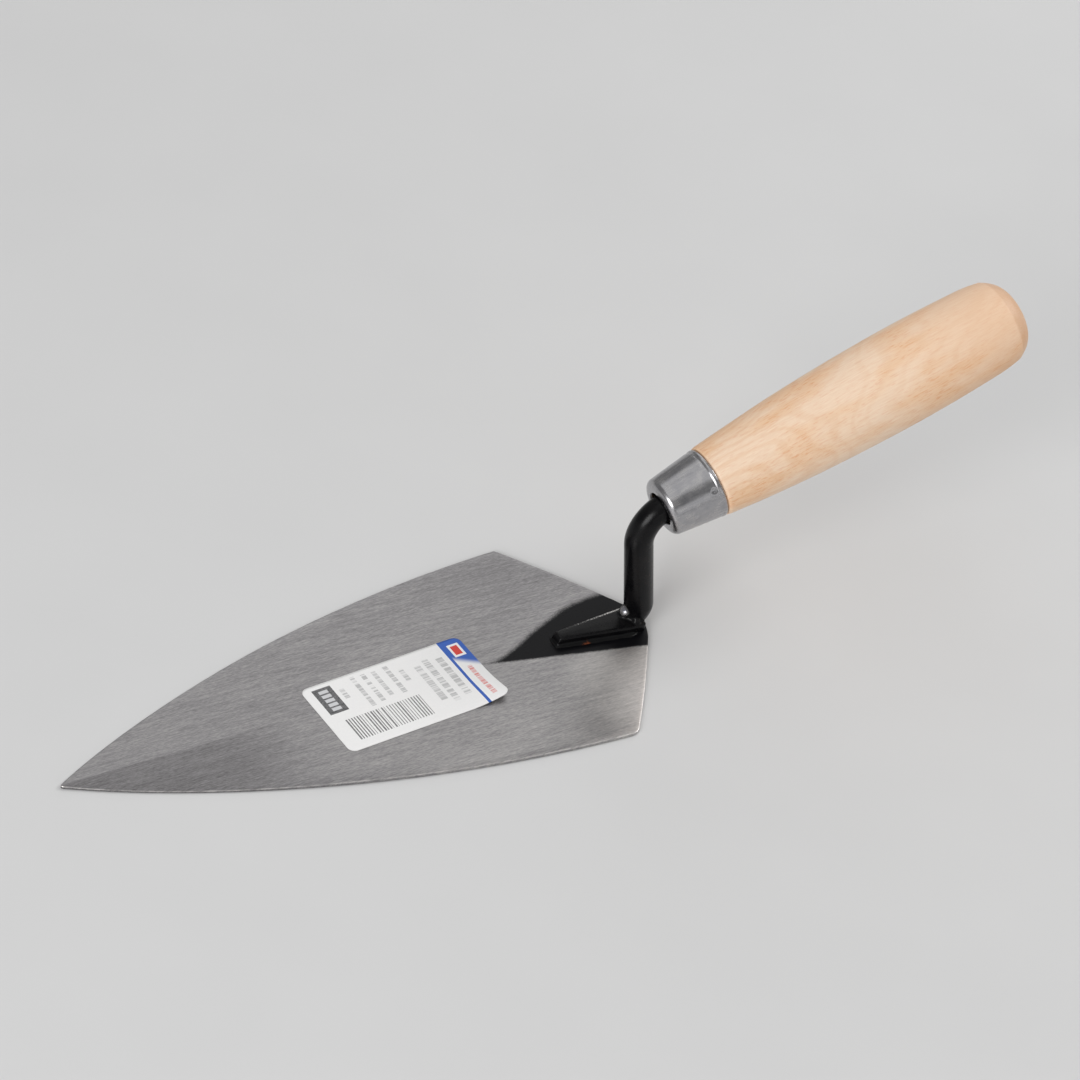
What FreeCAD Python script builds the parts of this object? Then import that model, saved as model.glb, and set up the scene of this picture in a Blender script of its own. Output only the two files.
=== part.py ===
import FreeCAD, Part
import math
import os
from FreeCAD import Vector

# Forged pointing trowel, millimetres. The blade lies flat: +Z is up, the tip points along -X and the
# handle along +X. The origin is on the blade's underside, on the centreline, between the shoulders.

# Blade: a flat steel plate, taper ground towards the tip.
BLADE_LENGTH = 178.0
BLADE_WIDTH = 76.2
BLADE_THICK = 1.2
HEEL_X = 24.8                    # from the line of the shoulders back to the heel
HEEL_CORNER_X = 22.4             # where the rear edges end and the heel's nose begins
HEEL_HALF_WIDTH = 7.4
REAR_BULGE = 0.5                 # how far a rear edge bows out at its middle
TIP_HALF_ANGLE = 29.0            # degrees
TIP_PULL = 25.4                  # how long the side edge keeps the tip's direction
SHOULDER_ANGLE = 2.2             # degrees between the side edge and the centreline at the shoulder
SHOULDER_PULL = 73.3
TIP_ROUND = 0.6
FAR_SHOULDER_ROUND = 0.6
NEAR_SHOULDER_ROUND = 2.5
RIDGE_LENGTH = 72.0              # the centre ridge between the two ground facets
RIDGE_FALL = 0.45                # degrees, ridge down to the tip
FACET_FALL = 1.0                 # degrees, ridge out to the edges

# Tang: one forging, with a flattened tongue, a round shank and a tapered spike.
SHANK_RADIUS = 4.05
SHANK_FOOT_X = 24.1              # where the shank's axis would meet the underside
SHANK_LEAN = 12.4                # degrees, forwards as it rises
BEND_RADIUS = 10.0
HEEL_TURN_Z = 7.0                # height at which the shank's back turns under to the blade
HEEL_TURN_X = 24.3               # where that turn meets the blade
TONGUE_THICK = 2.6
TONGUE_FRONT_X = -3.4
TONGUE_NOSE = 0.7                # run of the sloped front end
TONGUE_FRONT_HALF = 1.6
TONGUE_ROOT_X = 18.6
TONGUE_ROOT_NEAR = 4.9           # the hand-forged root is wider on the -Y side
TONGUE_ROOT_FAR = 3.5
SPIKE_END_RADIUS = 1.3
SPIKE_END = 62.0                 # along the handle's axis from the ferrule joint

# Seam of braze round the tongue.
SEAM_WIDTH = 1.1
SEAM_HEIGHT = 0.9
SEAM_SLOPE = 0.75
SEAM_END_X = 21.0

# Handle axis. Stations along it are measured from the joint between ferrule and wood.
JOINT_X = 36.5
JOINT_Z = 47.2
HANDLE_RISE = 20.0               # degrees above the blade

# Ferrule: a drawn cap, its front turned in round the shank.
FERRULE_LENGTH = 15.2
FERRULE_FRONT_RADIUS = 7.86
FERRULE_REAR_RADIUS = 9.97
FERRULE_WALL = 0.8
FERRULE_NOSE_ROUND = 1.3
FERRULE_HOLE_RADIUS = 5.5
RIM_LENGTH = 2.2                 # the rolled-in rear rim
RIM_DROP = 0.45
STAKE_RADIUS = 0.9               # the punched dimple that locks the ferrule to the wood
STAKE_DEPTH = 0.35
STAKE_STATION = -2.7
STAKE_ANGLE = 37.0               # degrees round the axis, from -Y towards +Z

# Wooden handle: (station, radius) at the turned shape's few guiding sections.
HANDLE_SECTIONS = [(0.0, 10.1), (12.0, 11.23), (28.0, 12.45), (46.0, 13.22), (66.0, 13.39), (86.0, 12.81)]
BUTT_START = (90.1, 12.45)
BUTT_SHOULDER = (95.5, 11.9)
BUTT_CORNER_RADIUS = 8.0
HANDLE_END = 99.1

# Paper label, two inches by one, stuck slightly askew on the blade.
LABEL_LENGTH = 50.8
LABEL_WIDTH = 25.4
LABEL_THICK = 0.15
LABEL_CORNER = 2.2
LABEL_CENTRE = (-52.2, -2.5)
LABEL_TURN = 3.7                 # degrees

BIG = 400.0                      # larger than the whole trowel

TIP_X = HEEL_X - BLADE_LENGTH
HALF_WIDTH = BLADE_WIDTH / 2
TOP = BLADE_THICK
TONGUE_TOP = BLADE_THICK + TONGUE_THICK
ORIGIN = Vector(0, 0, 0)
UP = Vector(0, 0, 1)


def turned(degrees):
    """Unit vector in the XZ plane at this angle above +X."""
    return Vector(math.cos(math.radians(degrees)), 0, math.sin(math.radians(degrees)))


HANDLE_AXIS = turned(HANDLE_RISE)
HANDLE_NORMAL = turned(HANDLE_RISE + 90)
JOINT = Vector(JOINT_X, 0, JOINT_Z)
SHANK_AXIS = turned(90 + SHANK_LEAN)
SHANK_FOOT = Vector(SHANK_FOOT_X, 0, 0)


def along(start, direction, distance):
    return start + direction * distance


def station(s, radius):
    """Point in the XZ plane at station s of the handle's axis, this far off it."""
    return JOINT + HANDLE_AXIS * s + HANDLE_NORMAL * radius


def line(a, b):
    return Part.makeLine(a, b)


def bezier(*points):
    curve = Part.BezierCurve()
    curve.setPoles(list(points))
    return curve.toShape()


def spline(points):
    curve = Part.BSplineCurve()
    curve.interpolate(points)
    return curve.toShape()


def arc(a, middle, b):
    return Part.Arc(a, middle, b).toShape()


def prism(edges, direction):
    return Part.Face(Part.Wire(edges)).extrude(direction)


def polygon(points):
    closed = points + points[:1]
    return [line(a, b) for a, b in zip(closed, closed[1:])]


def spin(edges):
    """Solid turned about the handle's axis from a closed outline."""
    return Part.Face(Part.Wire(edges)).revolve(JOINT, HANDLE_AXIS, 360)


def upright_edges(solid, x, y, reach=1.0):
    """Upright edges of a plate that stand within reach of (x, y)."""
    found = []
    for edge in solid.Edges:
        a, b = edge.Vertexes[0].Point, edge.Vertexes[-1].Point
        upright = math.hypot(a.x - b.x, a.y - b.y) < 1e-4
        if upright and math.hypot(a.x - x, a.y - y) < reach:
            found.append(edge)
    return found


def side_edges(side):
    """Side edge and rear edge of one half of the blade, from tip to heel corner; side is 1 or -1."""
    tip_angle = math.radians(TIP_HALF_ANGLE)
    shoulder_angle = math.radians(SHOULDER_ANGLE)
    tip = Vector(TIP_X, 0, 0)
    shoulder = Vector(0, side * HALF_WIDTH, 0)
    heel = Vector(HEEL_CORNER_X, side * HEEL_HALF_WIDTH, 0)
    from_tip = Vector(math.cos(tip_angle), side * math.sin(tip_angle), 0)
    to_shoulder = Vector(math.cos(shoulder_angle), side * math.sin(shoulder_angle), 0)
    side_edge = bezier(tip, along(tip, from_tip, TIP_PULL),
                       along(shoulder, to_shoulder, -SHOULDER_PULL), shoulder)
    rear = heel - shoulder
    outward = Vector(-rear.y * side, rear.x * side, 0).normalize()
    middle = (shoulder + heel) * 0.5 + outward * REAR_BULGE
    return side_edge, arc(shoulder, middle, heel), heel


def ground_facet(side):
    """Wedge that the grinder takes off the top of one half of the blade near the tip."""
    ridge_end = Vector(TIP_X + RIDGE_LENGTH, 0, TOP)
    along_ridge = Vector(1, 0, math.tan(math.radians(RIDGE_FALL)))
    across = Vector(0, side, -math.tan(math.radians(FACET_FALL)))
    corners = [ridge_end - along_ridge * BIG, ridge_end + along_ridge * BIG]
    corners += [c + across * BIG for c in reversed(corners)]
    wedge = prism(polygon(corners), UP * BIG)
    half = Part.makeBox(2 * BIG, BIG, BIG, Vector(-BIG, 0 if side > 0 else -BIG, 0))
    return wedge.common(half)


def blade():
    far_side, far_rear, far_heel = side_edges(1)
    near_side, near_rear, near_heel = side_edges(-1)
    nose = arc(far_heel, Vector(HEEL_X, 0, 0), near_heel)
    plate = prism([far_side, far_rear, nose, near_rear, near_side], UP * BLADE_THICK)
    rounds = [(TIP_X, 0, TIP_ROUND),
              (0, HALF_WIDTH, FAR_SHOULDER_ROUND),
              (0, -HALF_WIDTH, NEAR_SHOULDER_ROUND)]
    for x, y, radius in rounds:
        plate = plate.makeFillet(radius, upright_edges(plate, x, y))
    for side in (1, -1):
        plate = plate.cut(ground_facet(side))
    return plate


def tongue_outline():
    """Plan of the tongue, from its blunt front end back under the shank."""
    return [Vector(TONGUE_FRONT_X, TONGUE_FRONT_HALF, TOP),
            Vector(TONGUE_ROOT_X, TONGUE_ROOT_FAR, TOP),
            Vector(HEEL_TURN_X, SHANK_RADIUS - 1, TOP),
            Vector(HEEL_TURN_X, 1 - SHANK_RADIUS, TOP),
            Vector(TONGUE_ROOT_X, -TONGUE_ROOT_NEAR, TOP),
            Vector(TONGUE_FRONT_X, -TONGUE_FRONT_HALF, TOP)]


def tongue():
    block = prism(polygon(tongue_outline()), UP * TONGUE_THICK)
    nose = [Vector(TONGUE_FRONT_X, -SHANK_RADIUS, TOP),
            Vector(TONGUE_FRONT_X + TONGUE_NOSE, -SHANK_RADIUS, TONGUE_TOP),
            Vector(TONGUE_FRONT_X, -SHANK_RADIUS, TONGUE_TOP)]
    return block.cut(prism(polygon(nose), Vector(0, 2 * SHANK_RADIUS, 0)))


def heel_cutter():
    """What is removed below the shank's back, where it turns under to meet the blade."""
    inward = SHANK_AXIS.cross(Vector(0, 1, 0))
    if inward.x > 0:
        inward = inward * -1
    rise = HEEL_TURN_Z / SHANK_AXIS.z
    top = along(SHANK_FOOT, SHANK_AXIS, rise) - inward * SHANK_RADIUS
    bottom = Vector(HEEL_TURN_X, 0, TOP)
    chord = top - bottom
    radius = -chord.dot(chord) / (2 * inward.dot(chord))
    centre = top + inward * radius
    half_way = ((top - centre) + (bottom - centre)).normalize()
    turn = arc(bottom, centre + half_way * radius, top)
    outer = [top, Vector(top.x + SHANK_RADIUS, 0, top.z), Vector(top.x + SHANK_RADIUS, 0, -BLADE_THICK),
             Vector(HEEL_TURN_X, 0, -BLADE_THICK), bottom]
    edges = [turn] + [line(a, b) for a, b in zip(outer, outer[1:])]
    slab = prism(edges, Vector(0, 4 * SHANK_RADIUS, 0))
    slab.translate(Vector(0, -2 * SHANK_RADIUS, 0))
    return slab


def bend_corner():
    """Where the shank's axis and the handle's axis cross."""
    gap = JOINT - SHANK_FOOT
    distance = (gap.x * HANDLE_AXIS.z - gap.z * HANDLE_AXIS.x) / (
        SHANK_AXIS.x * HANDLE_AXIS.z - SHANK_AXIS.z * HANDLE_AXIS.x)
    return along(SHANK_FOOT, SHANK_AXIS, distance)


def spike_and_bend():
    """Upper bend of the shank and the tapered spike that is driven into the wood."""
    corner = bend_corner()
    turn = 90 + SHANK_LEAN - HANDLE_RISE
    reach = BEND_RADIUS * math.tan(math.radians(turn / 2))
    start = along(corner, SHANK_AXIS, -reach)
    end = along(corner, HANDLE_AXIS, reach)
    centre = along(end, HANDLE_NORMAL, -BEND_RADIUS)
    disc = Part.Face(Part.Wire(Part.makeCircle(SHANK_RADIUS, start, SHANK_AXIS)))
    bend = disc.revolve(centre, Vector(0, 1, 0), turn)
    spike_length = SPIKE_END - HANDLE_AXIS.dot(end - JOINT)
    spike = Part.makeCone(SHANK_RADIUS, SPIKE_END_RADIUS, spike_length, end, HANDLE_AXIS)
    return start, bend, spike


def tang():
    start, bend, spike = spike_and_bend()
    shank = Part.makeCylinder(SHANK_RADIUS, (start - SHANK_FOOT).Length, SHANK_FOOT, SHANK_AXIS)
    shank = shank.cut(heel_cutter())
    shank = shank.cut(Part.makeBox(BIG, BIG, BIG, Vector(-BIG / 2, -BIG / 2, TOP - BIG)))
    return tongue().fuse([shank, bend, spike]).removeSplitter()


def braze_seam():
    """Bead with a sloping face that runs down both sides and round the front of the tongue."""
    wire = Part.Wire(polygon(tongue_outline()))
    bead = Part.Face(wire.makeOffset2D(SEAM_WIDTH)).extrude(UP * SEAM_HEIGHT)
    crest = [e for e in bead.Edges if min(v.Point.z for v in e.Vertexes) > TOP + SEAM_HEIGHT - 1e-4]
    bead = bead.makeChamfer(SEAM_SLOPE, crest)
    behind = Part.makeBox(BIG, BIG, BIG, Vector(SEAM_END_X, -BIG / 2, -BIG / 2))
    return bead.cut(behind).cut(tang())


def ferrule_radius(s):
    """Outer radius of the ferrule's straight taper at station s."""
    slope = (FERRULE_REAR_RADIUS - FERRULE_FRONT_RADIUS) / FERRULE_LENGTH
    return FERRULE_REAR_RADIUS + slope * s


def ferrule():
    front = -FERRULE_LENGTH
    nose_end = front + FERRULE_NOSE_ROUND
    nose_top = ferrule_radius(nose_end)
    rounding = 1 - math.sqrt(0.5)
    outer_nose = arc(station(front, nose_top - FERRULE_NOSE_ROUND),
                     station(front + FERRULE_NOSE_ROUND * rounding, nose_top - FERRULE_NOSE_ROUND * rounding),
                     station(nose_end, nose_top))
    rim_start = ferrule_radius(-RIM_LENGTH)
    rim_end = FERRULE_REAR_RADIUS - RIM_DROP
    rim = arc(station(-RIM_LENGTH, rim_start),
              station(-RIM_LENGTH / 2, ferrule_radius(-RIM_LENGTH / 2)), station(0, rim_end))
    inner_front = front + FERRULE_WALL
    inner = [station(0, rim_end), station(0, ferrule_radius(0) - FERRULE_WALL),
             station(inner_front, ferrule_radius(inner_front) - FERRULE_WALL),
             station(inner_front, FERRULE_HOLE_RADIUS), station(front, FERRULE_HOLE_RADIUS),
             station(front, nose_top - FERRULE_NOSE_ROUND)]
    edges = [outer_nose, line(station(nose_end, nose_top), station(-RIM_LENGTH, rim_start)), rim]
    edges += [line(a, b) for a, b in zip(inner, inner[1:])]
    return spin(edges).cut(stake())


def stake():
    """Ball that presses the small dimple into the near side of the ferrule."""
    angle = math.radians(STAKE_ANGLE)
    outward = Vector(0, -1, 0) * math.cos(angle) + HANDLE_NORMAL * math.sin(angle)
    height = ferrule_radius(STAKE_STATION) + STAKE_RADIUS - STAKE_DEPTH
    return Part.makeSphere(STAKE_RADIUS, JOINT + HANDLE_AXIS * STAKE_STATION + outward * height)


def handle():
    """Turned wood, with a tenon that fills the ferrule and a blind hole driven full by the spike."""
    tenon_front = FERRULE_WALL - FERRULE_LENGTH
    tenon_radius = ferrule_radius(tenon_front) - FERRULE_WALL
    side = spline([station(s, r) for s, r in HANDLE_SECTIONS + [BUTT_START]])
    butt = bezier(station(*BUTT_START), station(*BUTT_SHOULDER),
                  station(HANDLE_END, BUTT_CORNER_RADIUS), station(HANDLE_END, 0))
    tenon = [station(HANDLE_END, 0), station(tenon_front, 0), station(tenon_front, tenon_radius),
             station(0, ferrule_radius(0) - FERRULE_WALL), station(*HANDLE_SECTIONS[0])]
    wood = spin([side, butt] + [line(a, b) for a, b in zip(tenon, tenon[1:])])
    return wood.cut(spike_and_bend()[1]).cut(spike_and_bend()[2])


def label():
    corner = Vector(-LABEL_LENGTH / 2, -LABEL_WIDTH / 2, 0)
    sheet = Part.makeBox(LABEL_LENGTH, LABEL_WIDTH, LABEL_THICK, corner)
    for x in (-LABEL_LENGTH / 2, LABEL_LENGTH / 2):
        for y in (-LABEL_WIDTH / 2, LABEL_WIDTH / 2):
            sheet = sheet.makeFillet(LABEL_CORNER, upright_edges(sheet, x, y))
    sheet.rotate(ORIGIN, UP, LABEL_TURN)
    sheet.translate(Vector(LABEL_CENTRE[0], LABEL_CENTRE[1], TOP))
    return sheet


PIECES = {
    "blade": blade,
    "tang": tang,
    "braze_seam": braze_seam,
    "ferrule": ferrule,
    "handle": handle,
    "label": label,
}

os.makedirs("parts", exist_ok=True)
for name, build in PIECES.items():
    shape = build()
    shape.exportStep("parts/" + name + ".step")
    box = shape.BoundBox
    print(name, shape.ShapeType, "solids", len(shape.Solids), "valid", shape.isValid(),
          "volume", round(shape.Volume, 1), "x", round(box.XMin, 2), round(box.XMax, 2),
          "y", round(box.YMin, 2), round(box.YMax, 2), "z", round(box.ZMin, 2), round(box.ZMax, 2))
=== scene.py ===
import math

import bpy
from mathutils import Matrix, Vector, noise


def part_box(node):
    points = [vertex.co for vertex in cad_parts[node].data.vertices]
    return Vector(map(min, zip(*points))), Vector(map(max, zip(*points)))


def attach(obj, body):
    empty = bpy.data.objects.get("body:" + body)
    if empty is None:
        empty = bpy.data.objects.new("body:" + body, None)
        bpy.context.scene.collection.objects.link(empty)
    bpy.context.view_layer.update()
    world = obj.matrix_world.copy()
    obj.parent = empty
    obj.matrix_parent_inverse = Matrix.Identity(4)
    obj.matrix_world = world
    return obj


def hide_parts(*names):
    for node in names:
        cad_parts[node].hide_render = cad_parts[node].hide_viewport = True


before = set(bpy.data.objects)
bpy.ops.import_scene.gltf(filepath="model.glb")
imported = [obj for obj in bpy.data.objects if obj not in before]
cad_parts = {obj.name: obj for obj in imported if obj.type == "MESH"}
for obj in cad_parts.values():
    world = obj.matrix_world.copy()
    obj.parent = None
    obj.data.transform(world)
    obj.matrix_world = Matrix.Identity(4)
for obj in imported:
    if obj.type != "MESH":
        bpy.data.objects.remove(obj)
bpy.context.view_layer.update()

# All shapes are written in millimetres in the part's own frame: +Z up from the blade's underside, the tip
# towards -X, the handle towards +X. MM turns them into scene units.
MM = 0.001

# ---------------------------------------------------------------- driving dimensions
BLADE_LOW, BLADE_HIGH = (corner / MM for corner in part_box("blade"))
HEEL_X = BLADE_HIGH.x
HALF_WIDTH = BLADE_HIGH.y
TOP = BLADE_HIGH.z
TIP_ANGLE = math.radians(29.0)
TIP_ROUND = 0.6
TIP_X = BLADE_LOW.x - TIP_ROUND * (1 / math.sin(TIP_ANGLE) - 1)
TIP_PULL = 25.4
SHOULDER_ANGLE = math.radians(2.2)
SHOULDER_PULL = 73.3
HEEL_CORNER = (22.4, 7.4)
REAR_BULGE = 0.5
FAR_CORNER, NEAR_CORNER = 0.8, 2.6        # radii of the shoulders
EDGE_BEVEL = 0.32

JOINT = Vector((36.5, 0, 47.2))          # where the ferrule meets the wood, on the handle's axis
RISE = math.radians(20.0)
AXIS = Vector((math.cos(RISE), 0, math.sin(RISE)))
NORMAL = Vector((-math.sin(RISE), 0, math.cos(RISE)))
SIDE = Vector((0, -1, 0))

SHANK_RADIUS = 4.05
SHANK_FOOT = Vector((24.1, 0, 0))
LEAN = math.radians(12.4)
SHANK_AXIS = Vector((-math.sin(LEAN), 0, math.cos(LEAN)))
BEND_RADIUS = 10.0
TONGUE_THICK = 2.6
TONGUE_TOP = TOP + TONGUE_THICK
TONGUE_FRONT = -3.4
TONGUE_ROOT = 18.6
HEEL_LUMPS = [(19.3, 0.6, 4.7, 1.9, 2.0, 1.8), (20.6, -3.0, 4.2, 1.0, 0.9, 0.9)]     # centre and half sizes
HEEL_HIGHLIGHT_SPOT = (18.5, 0.2, 5.9)            # top of the larger lump, where a bright metal patch is painted as a highlight


# ---------------------------------------------------------------- small helpers
def lerp(a, b, t):
    return a + (b - a) * t


def smooth(t):
    t = min(1.0, max(0.0, t))
    return t * t * (3 - 2 * t)


def spread(count):
    """Numbers from 0 to 1, evenly spaced."""
    return [i / (count - 1) for i in range(count)]


def grid_faces(rows, cols, start=0, wrap_cols=False, wrap_rows=False):
    """Quads over a grid of vertices stored row by row."""
    faces = []
    for r in range(rows if wrap_rows else rows - 1):
        for c in range(cols if wrap_cols else cols - 1):
            r2, c2 = (r + 1) % rows, (c + 1) % cols
            faces.append((start + r * cols + c, start + r * cols + c2,
                          start + r2 * cols + c2, start + r2 * cols + c))
    return faces


def make_object(name, points, faces, material):
    """Smooth-shaded mesh object from points in millimetres."""
    mesh = bpy.data.meshes.new(name)
    mesh.from_pydata([tuple(p * MM for p in point) for point in points], [], faces)
    mesh.validate()
    mesh.update()
    mesh.polygons.foreach_set("use_smooth", [True] * len(mesh.polygons))
    piece = bpy.data.objects.new(name, mesh)
    bpy.context.scene.collection.objects.link(piece)
    if material:
        mesh.materials.append(material)
    return piece


def apply_modifiers(piece):
    """Bakes the piece's modifiers into its mesh."""
    bpy.context.view_layer.update()
    graph = bpy.context.evaluated_depsgraph_get()
    mesh = bpy.data.meshes.new_from_object(piece.evaluated_get(graph))
    old = piece.data
    piece.modifiers.clear()
    piece.data = mesh
    bpy.data.meshes.remove(old)
    mesh.name = piece.name
    mesh.polygons.foreach_set("use_smooth", [True] * len(mesh.polygons))


def declare(piece, node):
    """Hangs a drawn piece on the root body and hides the CAD part of its node."""
    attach(piece, "root")
    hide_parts(node)


class Shader:
    """Builds one node material around a Principled shader."""

    def __init__(self, name):
        self.material = bpy.data.materials.new(name)
        self.material.use_nodes = True
        self.nodes = self.material.node_tree.nodes
        self.links = self.material.node_tree.links
        self.surface = self.nodes["Principled BSDF"]
        self.place = self.nodes.new("ShaderNodeTexCoord").outputs["Object"]

    def feed(self, socket, value):
        if isinstance(value, bpy.types.NodeSocket):
            self.links.new(value, socket)
        else:
            socket.default_value = value

    def add(self, kind, inputs, **settings):
        node = self.nodes.new("ShaderNode" + kind)
        for key, value in settings.items():
            setattr(node, key, value)
        for key, value in inputs.items():
            self.feed(node.inputs[key], value)
        return node

    def set(self, **inputs):
        for key, value in inputs.items():
            self.feed(self.surface.inputs[key.replace("_", " ")], value)

    def math(self, operation, a, b=0.0, clamp=False):
        return self.add("Math", {0: a, 1: b}, operation=operation, use_clamp=clamp).outputs[0]

    def length(self, a, b):
        """Length of a flat vector with parts a and b."""
        squares = self.math("ADD", self.math("MULTIPLY", a, a), self.math("MULTIPLY", b, b))
        return self.math("SQRT", squares)

    def coords(self, scale=(1, 1, 1), turn=(0, 0, 0), shift=(0, 0, 0), source=None):
        """Coordinates in millimetres, turned, shifted and then scaled."""
        placed = self.add("Mapping", {"Vector": source or self.place, "Scale": (1 / MM,) * 3})
        turned = self.add("Mapping", {"Vector": placed.outputs[0], "Rotation": turn, "Location": shift})
        return self.add("Mapping", {"Vector": turned.outputs[0], "Scale": scale}).outputs[0]

    def axes(self, vector):
        return self.add("SeparateXYZ", {0: vector}).outputs

    def noise(self, vector, detail=2.0, roughness=0.5, distortion=0.0):
        return self.add("TexNoise", {"Vector": vector, "Scale": 1.0, "Detail": detail,
                                     "Roughness": roughness, "Distortion": distortion}).outputs["Fac"]

    def range(self, value, low, high, to_low=0.0, to_high=1.0, smoothly=False):
        kind = "SMOOTHSTEP" if smoothly else "LINEAR"
        return self.add("MapRange", {"Value": value, "From Min": low, "From Max": high,
                                     "To Min": to_low, "To Max": to_high}, interpolation_type=kind).outputs[0]

    def mix(self, factor, a, b):
        return self.add("Mix", {0: factor, 6: a, 7: b}, data_type="RGBA").outputs[2]

    def ramp(self, value, stops):
        node = self.add("ValToRGB", {0: value})
        elements = node.color_ramp.elements
        while len(elements) < len(stops):
            elements.new(0.5)
        for element, (position, colour) in zip(elements, stops):
            element.position = position
            element.color = colour
        return node.outputs[0]

    def bump(self, height, distance, strength=1.0, below=None):
        inputs = {"Height": height, "Distance": distance * MM, "Strength": strength}
        if below:
            inputs["Normal"] = below
        return self.add("Bump", inputs).outputs[0]


def srgb(red, green, blue):
    """Scene-linear colour from display values of 0 to 255."""
    def linear(value):
        value /= 255
        return value / 12.92 if value <= 0.04045 else ((value + 0.055) / 1.055) ** 2.4
    return (linear(red), linear(green), linear(blue), 1.0)


# ---------------------------------------------------------------- blade
SIDE_STEPS, CORNER_STEPS, REAR_STEPS, ACROSS = 120, 8, 34, 40
RIDGE_LENGTH = 72.0
RIDGE_SLOPE = math.tan(math.radians(2.6))
EDGE_LEVELS = [(0.15, 0.05), (0.05, 0.13), (0.0, 0.3)]      # distance in from the outline, and drop
EDGE_BURR = 0.035


def side_point(side, t):
    """Convex side edge, from the virtual tip to the shoulder."""
    tip, shoulder = Vector((TIP_X, 0)), Vector((0, side * HALF_WIDTH))
    p1 = tip + TIP_PULL * Vector((math.cos(TIP_ANGLE), side * math.sin(TIP_ANGLE)))
    p2 = shoulder - SHOULDER_PULL * Vector((math.cos(SHOULDER_ANGLE), side * math.sin(SHOULDER_ANGLE)))
    u = 1 - t
    return tip * u ** 3 + p1 * 3 * u * u * t + p2 * 3 * u * t * t + shoulder * t ** 3


def rear_point(side, t):
    """Rear edge, bowed out a little, from the shoulder to the heel's corner."""
    shoulder, heel = Vector((0, side * HALF_WIDTH)), Vector((HEEL_CORNER[0], side * HEEL_CORNER[1]))
    run = heel - shoulder
    outward = Vector((-run.y * side, run.x * side)).normalized()
    return lerp(shoulder, heel, t) + outward * REAR_BULGE * 4 * t * (1 - t)


def long_edge(side, corner_round):
    """Outline of one half, tip to heel corner, with the shoulder rounded off."""
    first = TIP_ROUND / math.tan(TIP_ANGLE) / (3 * TIP_PULL)
    cut = 0.53 * corner_round
    last_side = 1 - cut / (3 * SHOULDER_PULL)
    first_rear = cut / HALF_WIDTH
    points = [side_point(side, lerp(first, last_side, t ** 1.25)) for t in spread(SIDE_STEPS)]
    start, corner, end = points[-1], Vector((0, side * HALF_WIDTH)), rear_point(side, first_rear)
    for t in spread(CORNER_STEPS)[1:-1]:
        points.append(start * (1 - t) ** 2 + corner * 2 * t * (1 - t) + end * t * t)
    points += [rear_point(side, lerp(first_rear, 1, t)) for t in spread(REAR_STEPS)]
    return points


def inset(points, side, distance):
    """The same points moved in from the outline."""
    moved = []
    for i, point in enumerate(points):
        run = points[min(i + 1, len(points) - 1)] - points[max(i - 1, 0)]
        inward = Vector((run.y * side, -run.x * side)).normalized()
        moved.append(point + inward * distance)
    return moved


def blade_rows(distance):
    """Rows of points across the blade, inset from its outline, from the tip's nose to the heel."""
    far = inset(long_edge(1, FAR_CORNER), 1, distance)
    near = inset(long_edge(-1, NEAR_CORNER), -1, distance)
    heel_radius = (HEEL_CORNER[1] ** 2 + (HEEL_X - HEEL_CORNER[0]) ** 2) / (2 * (HEEL_X - HEEL_CORNER[0]))
    heel_angle = math.asin(HEEL_CORNER[1] / heel_radius)
    nose_angle = math.pi / 2 - TIP_ANGLE
    nose_radius = TIP_ROUND - distance
    rows = []
    for i, (a, b) in enumerate(zip(near, far)):
        to_nose = smooth(1 - i / 6) * nose_radius
        to_heel = smooth(1 - (len(near) - 1 - i) / 12) * (heel_radius - distance)
        row = []
        for v in spread(ACROSS + 1):
            point = lerp(a, b, v)
            w = 2 * v - 1
            point.x -= to_nose * (math.cos(nose_angle * w) - math.cos(nose_angle))
            point.x += to_heel * (math.cos(heel_angle * w) - math.cos(heel_angle))
            row.append(point)
        rows.append(row)
    return rows


def rim_loop(rows):
    """Outline of the rows as one closed loop."""
    near_to_far_tip = rows[0]
    far = [row[-1] for row in rows[1:]]
    heel = list(reversed(rows[-1][:-1]))
    near = [row[0] for row in reversed(rows[1:-1])]
    return near_to_far_tip + far + heel + near


def blade_top(x, y):
    """Height of the top: flat, but ground down either side of a ridge that dies out towards the label."""
    left = max(0.0, 1 - (x - TIP_X) / RIDGE_LENGTH)
    fall = RIDGE_SLOPE * left ** 1.1
    return TOP - abs(y) * fall - 0.25 * left ** 2


def make_blade(material):
    """Top grid, rolled edge and flat underside, joined ring by ring."""
    rows = blade_rows(EDGE_BEVEL)
    across = ACROSS + 1
    points = [(p.x, p.y, blade_top(p.x, p.y)) for row in rows for p in row]
    faces = grid_faces(len(rows), across)
    rim = rim_loop([[r * across + c for c in range(across)] for r in range(len(rows))])
    loops = [rim]
    rings = [(level, True) for level in EDGE_LEVELS] + [(level, False) for level in reversed(EDGE_LEVELS)]
    for (distance, drop), upper in rings:
        first = len(points)
        for p in rim_loop(blade_rows(distance)):
            burr = EDGE_BURR * noise.noise(Vector((p.x * 0.9, p.y * 0.9, 3.7)))
            top = blade_top(p.x, p.y)
            height = top - drop if upper else min(drop, top * 0.4)
            points.append((p.x + burr, p.y + burr * math.copysign(1, p.y), height))
        loops.append(list(range(first, len(points))))
    under = len(points)
    points += [(p.x, p.y, 0.0) for row in rows for p in row]
    faces += [tuple(reversed(face)) for face in grid_faces(len(rows), across, under)]
    loops.append([under + k for k in rim])
    for a, b in zip(loops, loops[1:]):
        for k in range(len(rim)):
            n = (k + 1) % len(rim)
            faces.append((a[k], b[k], b[n], a[n]))
    return make_object("blade_steel", points, faces, material)


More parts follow.
